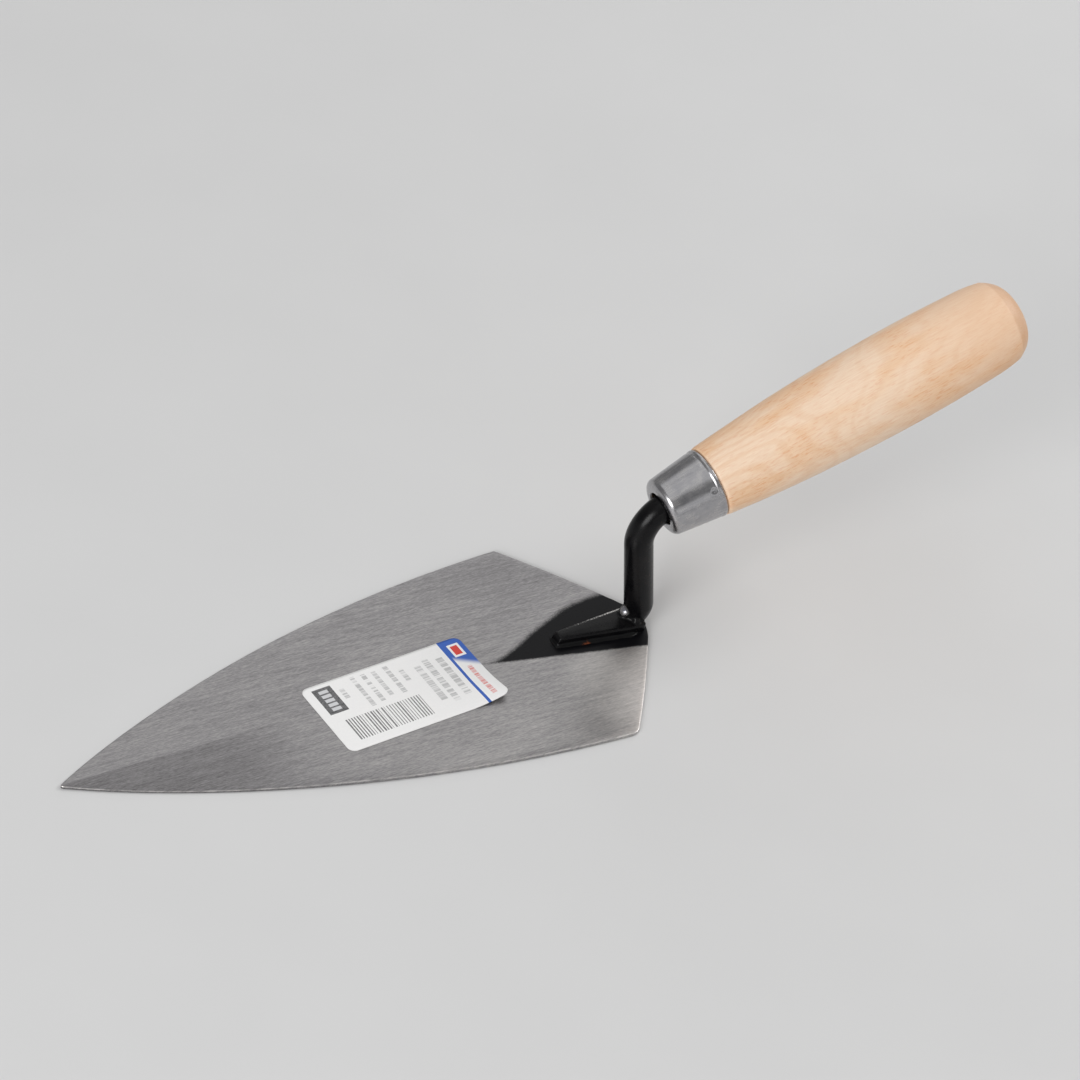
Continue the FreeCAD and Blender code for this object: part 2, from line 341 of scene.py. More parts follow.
# ---------------------------------------------------------------- tang
def tongue_section(x):
    """Far and near half widths of the tongue at x, and how high it stands."""
    t = (x - TONGUE_FRONT) / (TONGUE_ROOT - TONGUE_FRONT)
    far = lerp(1.7, 3.5, min(t, 1.0)) + 0.5 * max(0.0, t - 1)
    near = lerp(1.6, 4.9, min(t, 1.0)) - 1.0 * max(0.0, t - 1)
    rise = TONGUE_THICK * smooth((x - TONGUE_FRONT + 0.55) / 1.25)
    return far, near, rise


def make_tongue():
    """Closed loft of rounded rectangles, from the blunt front to under the shank."""
    stations = [TONGUE_FRONT, -3.15, -2.7, -2.1, -1.4, 2, 6, 10, 14, 18, 21, 23]
    soft = 0.45
    points = []
    for x in stations:
        far, near, rise = tongue_section(x)
        top = TOP + rise
        points += [(x, far, TOP - 0.6), (x, far, top - soft), (x, far - 0.12, top - 0.16),
                   (x, far - soft, top), (x, 0.3 * (far - near), top + 0.06), (x, soft - near, top),
                   (x, 0.12 - near, top - 0.16), (x, -near, top - soft), (x, -near, TOP - 0.6)]
    cols = 9
    faces = grid_faces(len(stations), cols, wrap_cols=True)
    faces.append(tuple(range(cols)))
    faces.append(tuple(reversed(range((len(stations) - 1) * cols, len(stations) * cols))))
    return make_object("tongue_part", points, [tuple(reversed(f)) for f in faces], None)


def tube(name, path, around=48):
    """Closed round tube; the path holds (centre, direction, radius)."""
    points = []
    for centre, direction, radius in path:
        across = Vector((0, 1, 0))
        up = direction.cross(across).normalized()
        for k in range(around):
            angle = math.tau * k / around
            points.append(tuple(centre + (across * math.cos(angle) + up * math.sin(angle)) * radius))
    faces = grid_faces(len(path), around, wrap_cols=True)
    faces.append(tuple(reversed(range(around))))
    faces.append(tuple(range((len(path) - 1) * around, len(path) * around)))
    return make_object(name, points, faces, None)


def bend_corner():
    """Where the shank's line meets the handle's axis."""
    gap = JOINT - SHANK_FOOT
    distance = (gap.x * AXIS.z - gap.z * AXIS.x) / (SHANK_AXIS.x * AXIS.z - SHANK_AXIS.z * AXIS.x)
    return SHANK_FOOT + SHANK_AXIS * distance


def shank_path():
    """Shank from inside the heel up, round the bend and into the handle's bore."""
    turn = math.pi / 2 + LEAN - RISE
    reach = BEND_RADIUS * math.tan(turn / 2)
    corner = bend_corner()
    start, end = corner - SHANK_AXIS * reach, corner + AXIS * reach
    centre = end - NORMAL * BEND_RADIUS
    low = SHANK_FOOT + SHANK_AXIS * 7.6
    upright = Vector((0, 0, 1))
    path = [(Vector((21.5, 0, 1.5)), upright, 2.7), (Vector((21.85, 0, 2.9)), upright, 3.15),
            (Vector((22.2, 0, 4.3)), upright, 3.6), (Vector((22.5, 0, 5.8)), SHANK_AXIS, 3.9)]
    for t in spread(16):
        path.append((lerp(low, start, t), SHANK_AXIS, SHANK_RADIUS * lerp(1.0, 0.985, t)))
    for t in spread(26)[1:]:
        rotation = Matrix.Rotation(turn * t, 3, "Y")
        slim = lerp(0.985, 0.945, math.sin(math.pi * min(1.0, t * 1.1) / 2))
        path.append((centre + rotation @ (start - centre), rotation @ SHANK_AXIS, SHANK_RADIUS * slim))
    for t in spread(6)[1:]:
        path.append((end + AXIS * 7 * t, AXIS, SHANK_RADIUS * lerp(0.945, 0.86, t)))
    return path


def lump(name, x, y, z, rx, ry, rz, rows=24, cols=32):
    """Closed ellipsoid, cut flat by a hair at both poles."""
    points = []
    for r in range(1, rows):
        polar = math.pi * r / rows
        for c in range(cols):
            angle = math.tau * c / cols
            points.append((x + rx * math.sin(polar) * math.cos(angle),
                           y + ry * math.sin(polar) * math.sin(angle), z + rz * math.cos(polar)))
    faces = [tuple(reversed(face)) for face in grid_faces(rows - 1, cols, wrap_cols=True)]
    faces.append(tuple(range(cols)))
    faces.append(tuple(reversed(range((rows - 2) * cols, (rows - 1) * cols))))
    return make_object(name, points, faces, None)


def make_tang(material):
    """One forging: tongue, heel and shank are joined, and the joins drawn smooth."""
    parts = [make_tongue(), tube("shank_part", shank_path())]
    parts += [lump("heel_part_%d" % k, *sizes) for k, sizes in enumerate(HEEL_LUMPS)]
    bpy.ops.object.select_all(action="DESELECT")
    for part in parts:
        part.select_set(True)
    bpy.context.view_layer.objects.active = parts[0]
    bpy.ops.object.join()
    piece = parts[0]
    piece.name = "forged_tang"
    remesh = piece.modifiers.new("skin", "REMESH")
    remesh.mode = "VOXEL"
    remesh.voxel_size = 0.28 * MM
    even = piece.modifiers.new("even", "SMOOTH")
    even.factor = 0.5
    even.iterations = 7
    apply_modifiers(piece)
    for vertex in piece.data.vertices:
        vertex.co.z = max(vertex.co.z, TOP * MM)
    piece.data.materials.clear()
    piece.data.materials.append(material)
    return piece


# ---------------------------------------------------------------- braze seam
def make_seam(material):
    """Bead in the corner of tongue and blade: down the far side, round the front, up the near side."""
    path = []
    for k in range(24):
        x = 20.6 - k
        path.append((Vector((x, tongue_section(x)[0])), Vector((0.1, 1.0))))
    for k in range(1, 8):
        angle = math.pi * k / 8
        path.append((Vector((-3.2 - 0.25 * math.sin(angle), 1.65 * math.cos(angle))),
                     Vector((-math.sin(angle), math.cos(angle)))))
    for k in range(24):
        x = k - 2.4
        path.append((Vector((x, -tongue_section(x)[1])), Vector((0.1, -1.0))))
    points = []
    for k, (foot, outward) in enumerate(path):
        outward = outward.normalized()
        swell = noise.noise(Vector((foot.x * 0.35, foot.y * 0.35, 1.3)))
        grain = noise.noise(Vector((foot.x * 1.3, foot.y * 1.3, 8.1)))
        fade = smooth(min(k, len(path) - 1 - k) / 3)
        width = (0.95 + 0.35 * swell + 0.15 * grain) * lerp(0.35, 1, fade)
        height = (0.85 + 0.3 * swell - 0.12 * grain) * lerp(0.35, 1, fade)
        section = [(-0.25, height), (0.02, height), (0.12 * width, 0.62 * height),
                   (0.36 * width, 0.28 * height), (0.68 * width, 0.09 * height), (width, 0.0),
                   (width * 0.9, -0.05), (-0.25, -0.05)]
        for out, up in section:
            p = foot + outward * out
            points.append((p.x, p.y, TOP + max(up, 0.0)))
    cols = 8
    faces = grid_faces(len(path), cols, wrap_cols=True)
    faces.append(tuple(reversed(range(cols))))
    faces.append(tuple(range((len(path) - 1) * cols, len(path) * cols)))
    return make_object("braze_bead", points, faces, material)


# ---------------------------------------------------------------- turned pieces on the handle's axis
def turned(name, profile, material, around, shape):
    """Solid of revolution; its (station, radius) points start and end on the axis, or form a closed loop."""
    closed = profile[0] == profile[-1]
    ring_points = profile[:-1] if closed else profile[1:-1]
    points = []
    for s, r in ring_points:
        for k in range(around):
            angle = math.tau * k / around
            outward = SIDE * math.cos(angle) + NORMAL * math.sin(angle)
            points.append(tuple(JOINT + AXIS * s + outward * (r + shape(s, r, angle))))
    faces = grid_faces(len(ring_points), around, wrap_cols=True, wrap_rows=closed)
    if not closed:
        for s, ring in ((profile[0][0], 0), (profile[-1][0], len(ring_points) - 1)):
            hub = len(points)
            points.append(tuple(JOINT + AXIS * s))
            for k in range(around):
                a, b = ring * around + k, ring * around + (k + 1) % around
                faces.append((hub, b, a) if ring == 0 else (hub, a, b))
    return make_object(name, points, faces, material)


def arc_points(centre, radius, start, end, steps):
    """Points on an arc in (station, radius) space; angles in degrees."""
    return [(centre[0] + radius * math.cos(math.radians(lerp(start, end, t))),
             centre[1] + radius * math.sin(math.radians(lerp(start, end, t)))) for t in spread(steps)]


def line_points(a, b, steps):
    return [(lerp(a[0], b[0], t), lerp(a[1], b[1], t)) for t in spread(steps)]


FERRULE_LENGTH = 15.2
FERRULE_FRONT, FERRULE_REAR = 8.12, 9.97     # outer radii
FERRULE_TAPER = (FERRULE_REAR - FERRULE_FRONT) / FERRULE_LENGTH
FERRULE_NOSE = 2.0
FERRULE_BULGE = 0.5              # how far the turned-in front stands past the length
WALL = 0.8
HOLE_RADIUS = 4.8
STAKE = (-2.7, 37.0)             # station, and degrees round the axis


def ferrule_radius(s):
    return FERRULE_REAR + FERRULE_TAPER * s


def ferrule_shape(s, r, angle):
    """Stake dimple, and the slight out-of-round of a pressed cap."""
    if r < ferrule_radius(s) - 0.5:
        return 0.0
    turn = (math.degrees(angle) - STAKE[1] + 180) % 360 - 180
    away = math.hypot(s - STAKE[0], math.radians(turn) * r)
    dimple = -0.32 * math.exp(-(away / 0.6) ** 2) + 0.06 * math.exp(-((away - 1.15) / 0.35) ** 2)
    wobble = 0.035 * noise.noise(Vector((s * 0.25, math.cos(angle) * 2, math.sin(angle) * 2)))
    return dimple + wobble


def make_ferrule(material):
    """Drawn cap as one closed section: hole, turned-in front, wall, rolled rear rim and bore."""
    front = -FERRULE_LENGTH - FERRULE_BULGE
    nose = FERRULE_NOSE
    profile = [(front + WALL, HOLE_RADIUS + 0.25)]
    profile += arc_points((front + 0.4, HOLE_RADIUS + 0.4), 0.4, 300, 180, 8)
    profile += line_points((front, HOLE_RADIUS + 0.55), (front, ferrule_radius(front + nose) - nose), 5)[1:]
    profile += arc_points((front + nose, ferrule_radius(front + nose) - nose), nose, 180, 98, 14)[1:]
    wall_start, wall_end = front + nose + 0.2, -2.5
    profile += line_points((wall_start, ferrule_radius(wall_start)), (wall_end, ferrule_radius(wall_end)), 60)
    profile += [(-2.25, ferrule_radius(-2.25) - 0.05), (-2.0, ferrule_radius(-2.0) - 0.05)]
    profile += arc_points((-1.0, ferrule_radius(-1.0) - 1.0), 1.06, 135, 20, 18)
    profile += [(0.0, FERRULE_REAR - 0.75), (-0.06, FERRULE_REAR - WALL)]
    profile += [(front + WALL, ferrule_radius(front + WALL) - WALL)]
    profile.append(profile[0])
    return turned("ferrule_cap", profile, material, 220, ferrule_shape)


# Station and radius along the grip.
HANDLE_SECTIONS = [(-6.0, 9.45), (0.0, 10.1), (12.0, 11.23), (28.0, 12.45), (46.0, 13.22), (66.0, 13.39),
                   (86.0, 12.81), (90.1, 12.45), (93.4, 11.98)]
BUTT_EDGE = (93.2, 11.9)         # station and radius where the rounded end is sanded on
HANDLE_END = 99.1
RING_WIDTH = 2.1


def through(points, steps):
    """Smooth curve through (station, radius) points, leaving out the first and last as guides."""
    curve = []
    for p0, p1, p2, p3 in zip(points, points[1:], points[2:], points[3:]):
        m1 = (p2[1] - p0[1]) / (p2[0] - p0[0])
        m2 = (p3[1] - p1[1]) / (p3[0] - p1[0])
        width = p2[0] - p1[0]
        for t in spread(steps)[:-1]:
            h1, h2 = 2 * t ** 3 - 3 * t * t + 1, t ** 3 - 2 * t * t + t
            h3, h4 = 3 * t * t - 2 * t ** 3, t ** 3 - t * t
            curve.append((p1[0] + width * t, h1 * p1[1] + h2 * width * m1 + h3 * p2[1] + h4 * width * m2))
    return curve


def handle_shape(s, r, angle):
    """Hand-sanded unevenness of the turned wood; the end's edge wanders most."""
    if s < 0.5 or r < 6:
        return 0.0
    place = Vector((s * 0.035, math.cos(angle) * 0.8, math.sin(angle) * 0.8))
    edge = math.exp(-((s - BUTT_EDGE[0] - 1.6) / 1.3) ** 2)
    wander = noise.noise(Vector((7.0, math.cos(angle) * 1.7, math.sin(angle) * 1.7)))
    return 0.12 * noise.noise(place) * smooth(s / 12) + 0.22 * wander * edge


def make_handle(material):
    """Tenon with the spike's hole, swelling grip, and the end rounded over on the sander."""
    tenon_front = WALL - FERRULE_LENGTH + 2.2
    tenon = ferrule_radius(tenon_front) - WALL - 0.05
    bore = SHANK_RADIUS + 0.2
    profile = [(tenon_front + 9, 0.0), (tenon_front + 9, bore * 0.7), (tenon_front + 3, bore)]
    profile += line_points((tenon_front, bore + 0.3), (tenon_front, tenon - 0.4), 6)
    profile += [(tenon_front + 0.3, tenon), (-0.1, FERRULE_REAR - WALL - 0.05), (0.02, 9.4), (0.02, 9.72),
                (0.12, 9.96)]
    profile += [(s, r) for s, r in through(HANDLE_SECTIONS, 15) if s > 0.4]
    profile += line_points(HANDLE_SECTIONS[-2], (BUTT_EDGE[0] - 0.25, BUTT_EDGE[1] + 0.06), 6)
    guides = (BUTT_EDGE, (HANDLE_END - 2.8, BUTT_EDGE[1] - 1.6), (HANDLE_END, 8.7), (HANDLE_END, 0.0))
    for t in spread(36):
        weights = ((1 - t) ** 3, 3 * t * (1 - t) ** 2, 3 * t * t * (1 - t), t ** 3)
        profile.append(tuple(sum(w * g[k] for w, g in zip(weights, guides)) for k in (0, 1)))
    profile[-1] = (HANDLE_END, 0.0)
    return turned("wooden_handle", profile, material, 180, handle_shape)


# ---------------------------------------------------------------- label
LABEL_LENGTH, LABEL_WIDTH = 50.8, 25.4
LABEL_TURN = math.radians(3.7)
LABEL_CORNER = 2.2
LABEL_CENTRE = Vector((-52.1, -2.75))
# Middle, height and both ends of each printed rule.
LABEL_RULES = [(10.6, 1.5, 17.6, 21.3), (15.5, 1.4, 12.3, 24.0), (18.8, 1.4, 12.9, 23.7),
               (22.0, 1.4, 13.7, 23.4), (25.9, 1.5, 13.2, 23.8), (29.3, 1.5, 16.4, 21.1),
               (34.1, 2.0, 6.3, 20.1), (37.3, 2.0, 4.6, 21.7), (41.3, 2.1, 5.6, 20.4)]
BAR_PITCH = 0.86
PAPER = 0.12


def label_lift(u, v):
    """How far the paper stands off the blade: one corner has curled, and the end next to it has eased up."""
    corner = max(0.0, 1 - math.hypot(LABEL_LENGTH - u, v) / 12.0)
    end = max(0.0, 1 - (LABEL_LENGTH - u) / 6.0) * max(0.0, 1 - v / 21.0)
    wrinkle = 0.02 * noise.noise(Vector((u * 0.12, v * 0.12, 5.0)))
    return 1.75 * corner ** 1.6 + 0.25 * end ** 2 + 0.03 + max(0.0, wrinkle)


def label_place(u, v):
    """Point of the blade under the label's own point u along, v across."""
    away = Vector((u - LABEL_LENGTH / 2, v - LABEL_WIDTH / 2))
    turn = Matrix.Rotation(LABEL_TURN, 2)
    return LABEL_CENTRE + turn @ away


def label_outline_v(u):
    """Lowest and highest v of the sheet at u, with its corners rounded."""
    near_end = min(u, LABEL_LENGTH - u)
    if near_end >= LABEL_CORNER:
        return 0.0, LABEL_WIDTH
    cut = LABEL_CORNER - math.sqrt(max(0.0, LABEL_CORNER ** 2 - (LABEL_CORNER - near_end) ** 2))
    return cut, LABEL_WIDTH - cut


def make_label(material):
    """Sheet with a top, an underside and an edge, marked with its own coordinates for the print."""
    ends = [LABEL_CORNER * (1 - math.cos(math.pi / 2 * t)) for t in spread(7)]
    middle = [lerp(LABEL_CORNER, LABEL_LENGTH - LABEL_CORNER, t) for t in spread(64)][1:-1]
    columns = ends + middle + [LABEL_LENGTH - e for e in reversed(ends)]
    columns[0], columns[-1] = 0.01, LABEL_LENGTH - 0.01
    rows = 34
    points, marks = [], []
    for thick in (PAPER, 0.0):
        for u in columns:
            low, high = label_outline_v(u)
            for t in spread(rows):
                v = lerp(low, high, t)
                p = label_place(u, v)
                z = max(blade_top(p.x, p.y) + 0.01, TOP - 0.02) + label_lift(u, v) + thick
                points.append((p.x, p.y, z))
                marks.append((u / LABEL_LENGTH, v / LABEL_WIDTH))
    size = len(columns) * rows
    faces = grid_faces(len(columns), rows)
    faces += [tuple(reversed(f)) for f in grid_faces(len(columns), rows, size)]
    rim = list(range(rows)) + [c * rows + rows - 1 for c in range(1, len(columns))]
    rim += [(len(columns) - 1) * rows + r for r in range(rows - 2, -1, -1)]
    rim += [c * rows for c in range(len(columns) - 2, 0, -1)]
    for k, a in enumerate(rim):
        b = rim[(k + 1) % len(rim)]
        faces.append((a, a + size, b + size, b))
    piece = make_object("paper_label", points, faces, material)
    layer = piece.data.uv_layers.new(name="print")
    for loop in piece.data.loops:
        layer.data[loop.index].uv = marks[loop.vertex_index]
    return piece


# ---------------------------------------------------------------- materials
PAINT_TIP = -22.4                # x where the sprayed patch comes to its point
PAINT_LENGTH = 47.2


def steel_material():
    """Ground steel with lengthwise strokes, and black paint sprayed round the tongue."""
    m = Shader("ground_steel")
    x, y, z = m.axes(m.coords())
    strokes, long_strokes, dashes = [
        m.noise(m.coords(scale, turn=(0, 0, math.radians(slant)), shift=shift), detail, roughness)
        for scale, slant, shift, detail, roughness in (((0.2, 2.6, 1.0), -1.5, (0, 0, 0), 3.0, 0.62),
                                                       ((0.05, 1.0, 1.0), 4.0, (40, 9, 0), 2.0, 0.5),
                                                       ((0.75, 5.2, 1.0), 1.0, (3, 70, 0), 2.0, 0.65))]
    cloud = m.noise(m.coords((0.035, 0.06, 1.0), shift=(11, 5, 0)), 2.0, 0.5)

    # Painted light and shade standing in for reflections: the near half is painted brighter, most of all
    # behind the label and at the near rear; the near side of the tip and the far rear are painted darker.
    painted_light_near_half = m.math("MULTIPLY", m.range(y, 26.0, -30.0), m.range(x, -130.0, 5.0, smoothly=True))
    painted_light_near_rear = m.range(y, -2.0, -14.0, smoothly=True)
    painted_light_near_rear = m.math("MULTIPLY", painted_light_near_rear, m.range(x, -12.0, 10.0, smoothly=True))
    painted_shade_far_rear = m.math("MULTIPLY", m.range(y, 4.0, 26.0, smoothly=True), m.range(x, -45.0, 0.0, smoothly=True))
    painted_shade_near_tip = m.math("MULTIPLY", m.range(y, 0.25, -0.25), m.range(x, -78.0, -112.0, smoothly=True))
    shade = m.range(strokes, 0.3, 0.7, -0.09, 0.09)
    for pattern, low, high in ((long_strokes, -0.05, 0.05), (cloud, -0.03, 0.035), (dashes, -0.12, 0.12)):
        shade = m.math("ADD", shade, m.range(pattern, 0.3, 0.7, low, high))
    # Painted light and shade: these areas brighten or darken the steel's colour in place of reflections.
    for area, change in ((painted_light_near_half, 0.13), (painted_light_near_rear, 0.34), (painted_shade_near_tip, -0.13), (painted_shade_far_rear, -0.07)):
        shade = m.math("ADD", shade, m.math("MULTIPLY", area, change))
    steel = m.ramp(m.range(shade, -0.5, 0.75), [(0.16, srgb(112, 110, 111)), (0.4, srgb(155, 153, 154)),
                                                (0.64, srgb(196, 193, 191)), (0.96, srgb(236, 232, 229))])
    # The rolled edge is painted bright in places, partly as rubbed metal and partly as a painted highlight.
    facing = m.axes(m.add("NewGeometry", {}).outputs["Normal"])[2]
    nicks = m.range(m.noise(m.coords((0.3, 0.3, 0.3), shift=(6, 2, 9)), 4.0, 0.65), 0.36, 0.6, 0.1, 0.7)
    slanted = m.math("MULTIPLY", m.range(facing, 0.96, 0.8), m.range(facing, 0.15, 0.45))
    edge_wear_and_highlight = m.math("MULTIPLY", slanted, nicks)
    steel = m.mix(edge_wear_and_highlight, steel, srgb(246, 243, 240))

    # Paint: a curved far edge, a straight near edge, and only on the top.
    ragged = m.range(m.noise(m.coords((0.22, 0.22, 0.22)), 2.0, 0.5), 0.3, 0.7, -0.13, 0.13)
    speckle = m.range(m.noise(m.coords((4.5, 4.5, 4.5)), 1.0, 0.5), 0.3, 0.7, -0.5, 0.5)
    run = m.math("SUBTRACT", x, PAINT_TIP)
    curve = m.add("FloatCurve", {"Value": m.range(run, 0.0, PAINT_LENGTH)})
    points = curve.mapping.curves[0].points
    points[0].location = (0.0, 0.0)
    points[1].location = (1.0, 0.9)
    for place in ((0.12, 0.14), (0.46, 0.62), (0.72, 0.87)):
        points.new(*place)
    curve.mapping.update()
    far_edge = m.math("SUBTRACT", m.math("MULTIPLY", curve.outputs[0], 14.6), 0.9)
    near_edge = m.math("SUBTRACT", m.math("MULTIPLY", run, -0.205), 1.3)
    inside_far = m.math("ADD", m.math("SUBTRACT", far_edge, y), ragged)
    inside_far = m.math("ADD", inside_far, m.math("MULTIPLY", speckle, 0.7))
    inside_near = m.math("ADD", m.math("SUBTRACT", y, near_edge), m.math("MULTIPLY", ragged, 0.5))
    inside_near = m.math("ADD", inside_near, m.math("MULTIPLY", speckle, 0.4))
    paint_far = m.range(inside_far, -1.3, 0.9, smoothly=True)
    paint_near = m.range(inside_near, -0.5, 0.4, smoothly=True)
    above = m.range(z, 0.1, 0.5)
    paint = m.math("MULTIPLY", m.math("MULTIPLY", paint_far, paint_near), above)
    mist_place = m.math("MULTIPLY", m.range(y, -29.0, -13.0, smoothly=True), m.range(y, -4.0, -8.0))
    rearward = m.math("SUBTRACT", x, m.math("MULTIPLY", y, 0.35))
    mist_place = m.math("MULTIPLY", mist_place, m.range(rearward, 20.0, 27.0, smoothly=True))
    mist = m.range(m.noise(m.coords((1.1, 2.4, 1.1), shift=(7, 2, 0)), 4.0, 0.75), 0.36, 0.74)
    mist = m.math("MULTIPLY", m.math("MULTIPLY", mist, mist_place), above)

    steel = m.mix(m.math("MULTIPLY", mist, 0.24), steel, srgb(92, 84, 80))
    m.set(Base_Color=m.mix(paint, steel, srgb(10, 10, 13)))
    m.set(Metallic=m.math("SUBTRACT", 1.0, paint))
    satin = m.range(strokes, 0.25, 0.75, 0.34, 0.42)
    satin = m.math("ADD", satin, m.math("MULTIPLY", painted_light_near_rear, 0.1))
    m.set(Roughness=m.math("SUBTRACT", satin, m.math("MULTIPLY", paint, 0.08)), Specular_IOR_Level=0.14)
    bare = m.math("SUBTRACT", 1.0, m.math("MULTIPLY", paint, 0.85))
    ground = m.math("MULTIPLY", m.math("ADD", strokes, m.math("MULTIPLY", dashes, 0.6)), bare)
    m.set(Normal=m.bump(ground, 0.02, 0.6))
    return m.material


def paint_material():
    """Gloss black over forged steel, rubbed through to bright metal along the tongue's far top edge, partly
    wear and partly a painted highlight; a painted highlight also sits on the heel's lump.
    """
    m = Shader("black_gloss")
    x, y, z = m.axes(m.coords())
    peel = m.noise(m.coords((1.1, 1.1, 1.1)), 2.0, 0.5)
    forge = m.noise(m.coords((0.28, 0.28, 0.28), shift=(3, 1, 8)), 3.0, 0.55)
    grit = m.noise(m.coords((2.4, 2.4, 2.4), shift=(5, 5, 5)), 3.0, 0.6)
    # Painted highlight, partly wear: bright bare metal along the tongue's far top edge.
    off_edge = m.math("SUBTRACT", y, m.math("ADD", m.math("MULTIPLY", x, 0.0795), 1.68))
    rubbed_and_highlight = m.range(m.math("ABSOLUTE", off_edge), 0.62, 0.2)
    rubbed_and_highlight = m.math("MULTIPLY", rubbed_and_highlight, m.range(z, TONGUE_TOP - 0.75, TONGUE_TOP - 0.35))
    patchy = m.range(m.math("ADD", m.range(x, -3.0, 17.0, -0.15, 0.17), grit), 0.5, 0.7)
    rubbed_and_highlight = m.math("MULTIPLY", m.math("MULTIPLY", rubbed_and_highlight, patchy), m.range(x, 20.5, 19.0))
    # Painted highlight: a bright bluish metal patch on top of the heel's larger lump.
    crown_highlight = m.add("VectorMath", {0: m.coords(), 1: HEEL_HIGHLIGHT_SPOT}, operation="DISTANCE").outputs["Value"]
    crown_highlight = m.range(m.math("ADD", crown_highlight, m.range(grit, 0.3, 0.7, -0.4, 0.4)), 1.6, 0.6)
    rubbed_and_highlight = m.math("MAXIMUM", rubbed_and_highlight, crown_highlight)
    colour = m.mix(m.range(forge, 0.35, 0.7), srgb(8, 8, 10), srgb(17, 16, 17))
    colour = m.mix(m.math("MULTIPLY", m.range(grit, 0.66, 0.8), 0.3), colour, srgb(86, 78, 72))
    m.set(Base_Color=m.mix(rubbed_and_highlight, colour, m.mix(crown_highlight, srgb(206, 203, 200), srgb(150, 150, 158))))
    m.set(Metallic=m.math("MULTIPLY", rubbed_and_highlight, 0.9))
    m.set(Roughness=m.range(forge, 0.3, 0.7, 0.22, 0.31), Specular_IOR_Level=0.17)
    lumps = m.bump(forge, 0.1, 0.35)
    m.set(Normal=m.bump(peel, 0.02, 0.3, below=lumps))
    return m.material


def seam_material():
    """Black-painted braze with one bare copper-coloured spot and a few flecks."""
    m = Shader("braze")
    x, y, _ = m.axes(m.coords())
    grain = m.noise(m.coords((0.9, 0.9, 0.9), shift=(2, 4, 6)), 4.0, 0.6)
    away_x = m.math("MULTIPLY", m.math("SUBTRACT", x, 4.6), 0.7)
    away_y = m.math("ADD", y, 3.9)
    away = m.length(away_x, away_y)
    spot = m.range(m.math("ADD", away, m.range(grain, 0.3, 0.7, -0.5, 0.5)), 0.95, 0.35)
    fleck = m.range(m.noise(m.coords((0.75, 0.75, 0.75), shift=(9, 1, 3)), 3.0, 0.6), 0.68, 0.78)
    bare = m.math("MAXIMUM", spot, m.math("MULTIPLY", fleck, 0.5), clamp=True)
    metal = m.mix(grain, srgb(84, 40, 24), srgb(150, 84, 52))
    m.set(Base_Color=m.mix(bare, srgb(8, 8, 9), metal))
    m.set(Metallic=m.math("MULTIPLY", bare, 0.5))
    m.set(Roughness=m.range(bare, 0, 1, 0.34, 0.55), Specular_IOR_Level=0.16)
    m.set(Normal=m.bump(grain, 0.12, 0.5))
    return m.material


def ferrule_material():
    """Bright zinc-coated steel with faint draw marks and handling specks."""
    m = Shader("zinc_steel")
    turn = (0, RISE, 0)
    mottle = m.noise(m.coords((0.3, 0.3, 0.3), shift=(1, 2, 3)), 4.0, 0.6)
    draw = m.noise(m.coords((0.1, 1.5, 1.5), turn=turn, shift=(0, 8, 0)), 3.0, 0.6)
    specks = m.range(m.noise(m.coords((2.6, 2.6, 2.6)), 2.0, 0.6), 0.68, 0.8)
    tone = m.math("ADD", m.math("MULTIPLY", mottle, 0.6), m.math("MULTIPLY", draw, 0.4))
    colour = m.ramp(tone, [(0.3, srgb(154, 154, 158)), (0.52, srgb(174, 173, 175)),
                           (0.72, srgb(194, 192, 191))])
    m.set(Base_Color=m.mix(m.math("MULTIPLY", specks, 0.45), colour, srgb(120, 116, 112)))
    m.set(Metallic=1.0, Roughness=m.range(tone, 0.3, 0.7, 0.2, 0.31))
    height = m.math("ADD", m.math("MULTIPLY", mottle, 0.75), m.math("MULTIPLY", draw, 0.25))
    m.set(Normal=m.bump(height, 0.035, 0.25))
    return m.material


